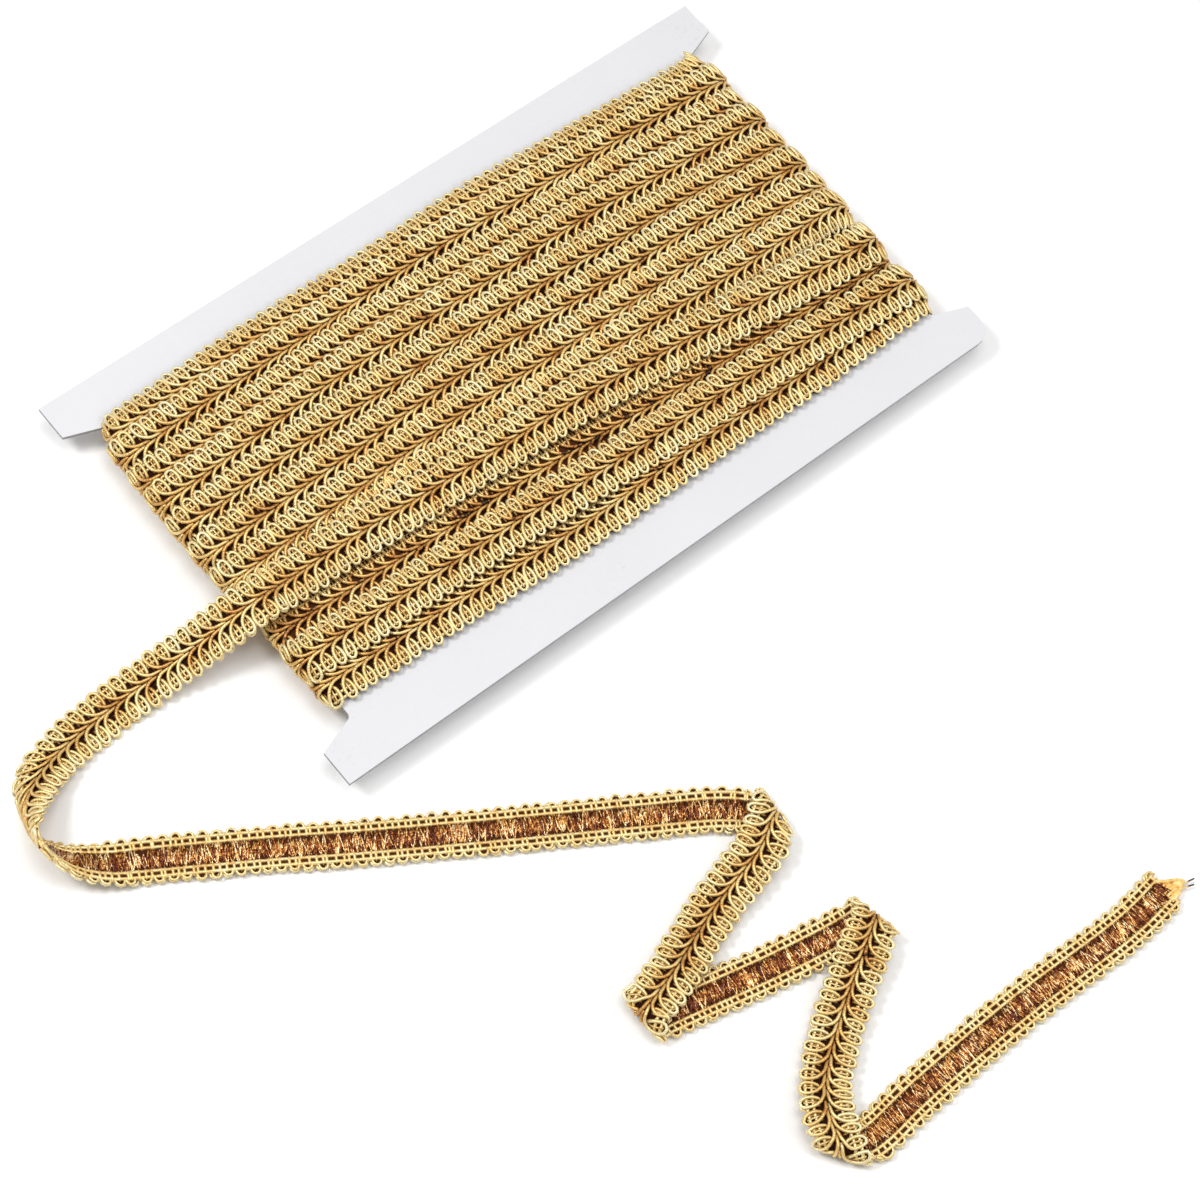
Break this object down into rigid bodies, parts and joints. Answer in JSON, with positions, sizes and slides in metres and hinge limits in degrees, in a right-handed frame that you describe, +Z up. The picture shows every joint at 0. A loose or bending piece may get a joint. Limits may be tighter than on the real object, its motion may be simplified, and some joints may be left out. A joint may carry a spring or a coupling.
{
  "type": "gimp braid trim on card",
  "caption": "Gold metallic gimp braid wound lengthwise on a white H-shaped card, with a loose tail that turns over and lies in a zig-zag.",
  "frame": {"origin": "middle of the flat underside of the winding, on the surface it rests on", "axes": "+Z up; X along the card's long rails, with the tail leaving the winding towards -X; Y across the card, with the tail lying on its -Y side"},
  "size_m": [0.2584, 0.2513, 0.0139],
  "materials": {
    "card": "smooth white board",
    "braid": "metallic gold yarn"
  },
  "bodies": {
    "root": {"card": "card", "winding": "braid", "tail": "braid"}
  },
  "joints": []
}
